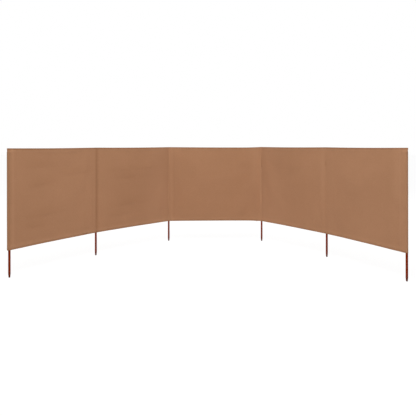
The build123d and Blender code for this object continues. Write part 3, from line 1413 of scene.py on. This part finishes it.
    def flattened(self, share: float, height: float) -> Vector:
        """Where a point of the strip lies once it is pressed flat on the back of the top hem.

        Args:
            share: How far across the strip it is, from its left edge.
            height: Height above the lower edge of the screen.

        Returns:
            The point.
        """
        plan, layout = self.screen.plan, self.layout
        ends, ply, folded = [], self.flat_ply, share
        for side in Side:
            sewn = layout.span(side) + layout.allowance
            ends.append(side.value * (side.of(plan.end_reaches) if side is self.open_side else sewn))
        if self.open_side:
            ply *= smooth(0.0, self.fold_share, self.from_end(share))
            folded = self.from_end(self.from_end(share) ** self.fold_power)
        run = lerp(*ends, folded)
        bay = self.bay_on(Side.LEFT if run < 0 else Side.RIGHT)
        if bay is None:
            bay = self.bay_on(layout.wide_side)
        spot = ScreenSpot(bay, run if bay == self.pole else run + plan.pitch, height)
        return self.screen.point(spot, ply)

    def beside_edge_seam(self, distance: float) -> float:
        """How near a point across the strip is to the stitches of a sewn edge.

        Args:
            distance: Distance from the left edge of the strip.

        Returns:
            Up to 1 on the stitches.
        """
        insets = {Side.LEFT: distance, Side.RIGHT: self.lengths[-1] - distance}
        sewn = [inset for side, inset in insets.items() if side is not self.open_side]
        return bell(min(sewn) - self.layout.allowance / 2, self.screen.hem_seam)

    def rise(self, distance: float, height: float) -> float:
        """How far the strip stands off the shortest way round the pole.

        Args:
            distance: Distance from the left edge of the strip.
            height: Height above the lower edge of the screen.

        Returns:
            The distance outwards.
        """
        plan, share = self.screen.plan, distance / self.lengths[-1]
        loose = smooth(*self.loose_from, share) * smooth(*self.loose_from, 1 - share)
        spot = Vector(scale * value for scale, value in zip(self.waves, (share, height, self.pole)))
        smaller, closer = self.small_waves
        both = noise.noise(spot) + smaller * noise.noise(spot * closer)
        waves = max(both, 0.0) * self.wave * loose
        waves += gather(distance, height, self.beside_edge_seam(distance))
        under_hem = 1 - smooth(plan.bottom_hem, plan.bottom_hem + self.hem_ease, height)
        if self.open_side:
            under_hem *= smooth(0.0, self.end_ease, self.from_end(share))
        return waves + plan.ply_gap * under_hem

    def surface(self, distance: float, height: float) -> FacePoint:
        """A point on the strip.

        Args:
            distance: Distance from the left edge of the strip.
            height: Height above the lower edge of the screen.

        Returns:
            The point on the middle of the cloth, and the way its outer face looks in plan.
        """
        plan, outline, lengths = self.screen.plan, self.outline, self.lengths
        column = min(max(bisect(lengths, distance) - 1, 0), len(outline) - 2)
        start, end = outline[column], outline[column + 1]
        part = (distance - lengths[column]) / (lengths[column + 1] - lengths[column])
        before, after = outline[max(column - 1, 0)], outline[min(column + 2, len(outline) - 1)]
        along = (end - before).lerp(after - start, part).normalized()
        out = Vector((-along.y, along.x, 0))
        place = plan.poles[self.pole] + start.lerp(end, part) + out * self.rise(distance, height)
        place.z = plan.bottom + height
        shut = smooth(plan.pole_end, self.full - self.flat_drop, height)
        return place.lerp(self.flattened(distance / lengths[-1], height), shut), out

    def outside(self, distance: float, height: float) -> FacePoint:
        """A point on the strip's outer face and the way that it looks, with distances as for surface."""
        place, out = self.surface(distance, height)
        return place + out * (self.screen.plan.cloth_gauge / 2), out

    def strip(self, material: bpy.types.Material) -> bpy.types.Object:
        """Build the strip.

        Args:
            material: Its finish.

        Returns:
            The piece.
        """
        plan, lengths = self.screen.plan, self.lengths

        def lay(column: int, row: int) -> SheetSpot:
            """Lay a point of the grid.

            Args:
                column: Its column.
                row: Its row.

            Returns:
                Its place and what the cloth shows there.
            """
            distance, height = lengths[column], self.full * row / self.rows
            return SheetSpot(
                place=self.surface(distance, height)[0],
                cut=(height, self.cut_step * self.pole + distance),
                shade=self.foot_darkening * bell(height, self.foot_band),
                lengthwise=self.beside_edge_seam(distance),
                crosswise=self.screen.beside_hem_seam(height),
            )

        number = self.pole + 1
        name = f"pocket_{number}_strip"
        mesh = sheet_mesh(name, len(lengths) - 1, self.rows, lay)
        mesh.flip_normals()
        piece = add_piece(name, mesh, material, (f"pocket_{number}",), plan.cloth_gauge)
        return piece

    def stitching(self, row: StitchRow, material: bpy.types.Material) -> bpy.types.Object:
        """Sew the strip to the screen along its edges and across its top, and hem its foot.

        Args:
            row: The kind of stitch.
            material: Finish of the thread.

        Returns:
            The piece.
        """
        screen, plan, bodies = self.screen, self.screen.plan, []
        inset, width = self.layout.allowance / 2, self.lengths[-1]
        for side in Side:
            bay, seam = self.bay_on(side), self.layout.stitch_line(side)
            if bay is None:
                continue
            run, edge = (seam, width - inset) if side is Side.RIGHT else (plan.pitch - seam, inset)
            for line in (partial(screen.face, bay, run), partial(self.outside, edge)):
                bodies += row.stitches(line, self.foot_stop, plan.pole_end)
        for height in (screen.hem_lines[0], self.full - self.stitch_stop):
            line = partial(self.outside, height=height)
            bodies += row.stitches(line, self.stitch_stop, width - self.stitch_stop)
        return row.piece(f"pocket_{self.pole + 1}_stitches", bodies, material)


@dataclass
class StainedPole:
    """A turned wooden pole with a tapered blunt foot."""

    plan: ScreenPlan
    pole: int  # the pole, from 0
    foot_radius: float = 0.0075  # radius of the blunt foot
    taper: float = 0.035  # height of the tapered foot
    edge: float = 0.002  # rounding of the foot and of the top
    cut_in: float = 0.3  # share of that rounding by which the middle of a rounded corner is cut in
    flare: float = 0.1  # share of it by which the foot has widened above its rounding
    # Heights below and above the end of the taper between which the shoulder is rounded
    shoulder: Pair = (0.003, 0.002)
    shoulder_cut: float = 0.0004  # how far the shoulder is cut in at the lower of them
    facets: int = 40  # number of faces round the pole

    def profile(self) -> list[Pair]:
        """Half of the pole's outline.

        Returns:
            Distances from the axis and heights, from the middle of the foot to that of the top.
        """
        radius, top = self.plan.pole_radius, self.plan.pole_top
        foot, edge, corner = self.foot_radius, self.edge, self.cut_in * self.edge
        return [
            (0, 0),
            (foot - edge, 0),
            (foot - corner, corner),
            (foot + self.flare * edge, edge),
            (radius - self.shoulder_cut, self.taper - self.shoulder[0]),
            (radius, self.taper + self.shoulder[1]),
            (radius, top - edge),
            (radius - corner, top - corner),
            (radius - edge, top),
            (0, top),
        ]

    def shaft(self, material: bpy.types.Material) -> bpy.types.Object:
        """Build the pole.

        Args:
            material: Its finish.

        Returns:
            The piece.
        """
        axis, shell = self.plan.poles[self.pole], bmesh.new()
        verts = [shell.verts.new((axis.x + out, axis.y, height)) for out, height in self.profile()]
        turned = verts + [shell.edges.new(pair) for pair in zip(verts, verts[1:])]
        bmesh.ops.spin(
            shell,
            geom=turned,
            cent=axis,
            axis=(0, 0, 1),
            angle=2 * math.pi,
            steps=self.facets,
            use_merge=True,
        )
        bmesh.ops.remove_doubles(shell, verts=shell.verts, dist=TOUCHING)
        bmesh.ops.recalc_face_normals(shell, faces=shell.faces)
        number = self.pole + 1
        name = f"pole_{number}_shaft"
        return add_piece(name, mesh_of(name, shell), material, (f"pole_{number}",))


@dataclass(frozen=True)
class StudioLamp:
    """A large square lamp."""

    name: str
    place: Triple  # where it hangs
    target: Triple  # the point that it faces
    power: float  # its power in watts
    size: float = 3.0  # length of its side

    def hang(self) -> None:
        """Hang the lamp and turn it to its target."""
        light = bpy.data.lights.new(self.name, "AREA")
        light.size, light.energy = self.size, self.power
        lamp = set_up(self.name, light)
        lamp.location = self.place
        lamp.rotation_euler = (Vector(self.target) - Vector(self.place)).to_track_quat("-Z", "Y").to_euler()


@dataclass
class Studio:
    """A white floor and backdrop under plain soft light."""

    lamps: tuple[StudioLamp, ...]
    floor_reach: float = 60.0  # half the width of the floor
    floor_white: Colour = (0.9, 0.9, 0.9)  # colour of the floor to the light from the object
    glow: float = 0.89  # brightness that the floor shows to the camera by itself
    tint: float = 0.15  # share of the light on it that the floor shows to the camera
    sky: float = 0.58  # strength of the even light from all sides

    def split(self, board: NodeBoard, lit: bpy.types.Node, shown: bpy.types.Node) -> bpy.types.NodeSocket:
        """Join the shader that lights the object with the one that the picture shows.

        Args:
            board: The node board.
            lit: The shader for light that reaches the object.
            shown: The shader for rays that show the background, straight or through a shiny surface.

        Returns:
            The joint shader.
        """
        path = board.add("ShaderNodeLightPath").outputs
        direct = board.math("MAXIMUM", path["Is Camera Ray"], path["Is Glossy Ray"])
        seen = board.math("MAXIMUM", direct, path["Is Transmission Ray"])
        wanted = {0: seen, 1: lit.outputs[0], 2: shown.outputs[0]}
        return board.add("ShaderNodeMixShader", wanted).outputs[0]

    def floor(self) -> None:
        """Lay the floor."""
        shell = bmesh.new()
        bmesh.ops.create_grid(shell, x_segments=1, y_segments=1, size=self.floor_reach)
        mesh = mesh_of("floor", shell)
        made, board, shader = new_material("floor_white")
        board.tree.nodes.remove(shader)
        matt = board.add("ShaderNodeBsdfDiffuse", {"Color": self.floor_white})
        faint = board.add("ShaderNodeBsdfDiffuse", {"Color": (self.tint, self.tint, self.tint)})
        glow = board.add("ShaderNodeEmission", {"Color": WHITE, "Strength": self.glow})
        shown = board.add("ShaderNodeAddShader", {0: faint.outputs[0], 1: glow.outputs[0]})
        board.fill(board.tree.nodes["Material Output"], {0: self.split(board, matt, shown)})
        mesh.materials.append(made)
        set_up("floor", mesh)

    def backdrop(self) -> None:
        """Make the world white to the eye and an even soft light on the object."""
        world = bpy.data.worlds.new("studio")
        world.use_nodes = True
        bpy.context.scene.world = world
        board = NodeBoard(world.node_tree)
        light = world.node_tree.nodes["Background"]
        board.fill(light, {"Color": WHITE, "Strength": self.sky})
        white = board.add("ShaderNodeBackground", {"Color": WHITE, "Strength": 1.0})
        board.fill(world.node_tree.nodes["World Output"], {0: self.split(board, light, white)})

    def build(self) -> None:
        """Set up the floor, the backdrop and the lamps."""
        self.floor()
        self.backdrop()
        for lamp in self.lamps:
            lamp.hang()


@dataclass
class ViewCamera:
    """The camera, as it stood for the photograph."""

    place: Triple = (0.618, -7.079, 1.2307)  # where it stands
    yaw: float = 0.0159  # turn to the left of the square view on the middle bay, in radians
    roll: float = 0.0017  # lean to the right, in radians
    focal: float = 552.5  # focal length in pixels
    horizon: float = 144.7  # height of the horizon in the picture, in pixels from its top
    frame_size: float = 416.0  # width and height of the picture in pixels
    sensor: float = 36.0  # width of the sensor in millimetres

    def build(self) -> None:
        """Set the camera up and use it."""
        camera = bpy.data.cameras.new("view")
        camera.sensor_width = self.sensor
        camera.lens = self.sensor * self.focal / self.frame_size
        camera.shift_y = (self.horizon - self.frame_size / 2) / self.frame_size
        view = set_up("view", camera)
        view.location = self.place
        view.rotation_euler = (math.pi / 2, self.roll, self.yaw)
        bpy.context.scene.camera = view


WIDE_SIDES = (Side.RIGHT, Side.LEFT, Side.RIGHT, Side.LEFT, Side.LEFT, Side.LEFT)
POCKETS = tuple(PocketPlan(side) for side in WIDE_SIDES)
# Heights of the broad bands of painted light, which fade out towards the top
BROAD_PAINTED_LIGHT = {"low": -0.5, "high": 0.78, "fade": 0.4}
# Painted shade and painted light beside the poles: dark lines where a pole or a pinched fold shades the
# cloth, pale bands on slopes that face the lamps, broad painted light that lifts the shade in the inner
# corners at poles 2 and 3, broad painted shade on the two end bays, and thin lines along two seams
PAINTED_LIGHT_MARKS = (
    PaintedLightMark(pole=0, along=-0.016, width=0.020, tone=0.35),
    PaintedLightMark(pole=0, along=0.034, width=0.010, tone=-0.2),
    PaintedLightMark(pole=0, along=0.150, width=0.260, tone=0.13),
    PaintedLightMark(pole=1, along=0.0, width=0.021, tone=0.6),
    PaintedLightMark(pole=2, along=-0.330, width=0.250, tone=-0.13, **BROAD_PAINTED_LIGHT),
    PaintedLightMark(pole=2, along=-0.180, width=0.230, tone=-0.42),
    PaintedLightMark(pole=2, along=-0.070, width=0.090, tone=-0.24, **BROAD_PAINTED_LIGHT),
    PaintedLightMark(pole=2, along=0.003, width=0.012, tone=0.36, high=0.76),
    PaintedLightMark(pole=2, along=0.039, width=0.014, tone=-0.15),
    PaintedLightMark(pole=2, along=0.071, width=0.006, tone=0.12),
    PaintedLightMark(pole=3, along=-0.075, width=0.055, tone=-0.25, low=0.3, fade=0.3),
    PaintedLightMark(pole=3, along=0.015, width=0.013, tone=0.5, low=0.665, high=0.815),
    PaintedLightMark(pole=3, along=0.055, width=0.075, tone=-0.24, **BROAD_PAINTED_LIGHT),
    PaintedLightMark(pole=3, along=0.160, width=0.220, tone=-0.38),
    PaintedLightMark(pole=3, along=0.360, width=0.250, tone=-0.17, **BROAD_PAINTED_LIGHT),
    PaintedLightMark(pole=4, along=-0.055, width=0.032, tone=-0.25, low=0.2, fade=0.3),
    PaintedLightMark(pole=4, along=0.0, width=0.014, tone=0.4, low=0.72, high=0.81),
    PaintedLightMark(pole=5, along=-0.180, width=0.260, tone=0.10),
    PaintedLightMark(pole=5, along=-0.105, width=0.055, tone=-0.26, low=0.42, fade=0.15),
    PaintedLightMark(pole=5, along=-0.028, width=0.034, tone=-0.08),
    PaintedLightMark(pole=5, along=-0.070, width=0.007, tone=-0.25),
)
CREASES = (
    ClothCrease(bay=0, along=0.352, height=0.780, reach=0.160),
    ClothCrease(bay=0, along=0.882, height=0.690, reach=0.260, depth=0.003),
    ClothCrease(bay=0, along=0.418, height=0.600, reach=0.190, lean=0.12),
    ClothCrease(bay=0, along=0.430, height=0.300, reach=0.220),
    ClothCrease(bay=0, along=0.288, height=0.190, reach=0.160),
    ClothCrease(bay=1, along=0.546, height=0.700, reach=0.400, depth=0.003),
    ClothCrease(bay=1, along=0.476, height=0.610, reach=0.170, depth=0.0042),
    ClothCrease(bay=1, along=0.476, height=0.293, reach=0.260),
    ClothCrease(bay=1, along=0.351, height=0.178, reach=0.190),
    ClothCrease(bay=2, along=0.916, height=0.624, reach=0.120, depth=-0.0027),
    ClothCrease(bay=2, along=0.955, height=0.100, reach=0.050, depth=0.002),
)
LAMPS = (
    StudioLamp("key_lamp", place=(0.6, -3.0, 4.6), target=(0.6, -0.6, 0.6), power=138.0),
    StudioLamp("left_lamp", place=(-5.0, -4.0, 4.2), target=(0.6, -0.8, 0.7), power=34.0),
    StudioLamp("right_lamp", place=(6.2, -4.0, 4.2), target=(0.6, -0.8, 0.7), power=6.0),
    StudioLamp("back_lamp", place=(0.6, 6.0, 4.6), target=(0.6, -0.4, 0.6), power=130.0, size=4.0),
)


def settled_drape(plan: ScreenPlan) -> Drape:
    """Let every bay settle between its pockets.

    Args:
        plan: Set-out of the screen.

    Returns:
        The drape of the whole screen.
    """
    fields = ()
    slack = SlackBay(plan.pitch - 2 * Drape.still, plan.height)
    fields = tuple(slack.settle(bay) for bay in range(plan.last_bay + 1))
    return Drape(plan.pitch, plan.height, fields, CREASES)


def main() -> None:
    """Build the windbreak and the studio round it."""
    logging.basicConfig(level=logging.INFO, format="%(message)s")
    bpy.context.scene.view_settings.view_transform = "Standard"
    ViewCamera().build()
    plan = ScreenPlan.from_frame()
    screen = ClothScreen(plan, settled_drape(plan), POCKETS, PAINTED_LIGHT_MARKS)
    groups = EffectGroups(plain_weave(), cloudy_tone())
    cloth = ClothFinish().material(groups)
    thread = ThreadFinish().material(groups)
    wood = StainedWoodFinish().material(groups)
    stitch = StitchRow()
    for number in range(plan.last_bay + 1):
        bay = ClothBay(screen, number)
        bay.cloth(cloth)
        bay.stitching(stitch, thread)
    for number in range(len(plan.poles)):
        StainedPole(plan, number).shaft(wood)
        pocket = PolePocket(screen, number)
        pocket.strip(cloth)
        pocket.stitching(stitch, thread)
    Studio(LAMPS).build()


if __name__ == "__main__":
    main()
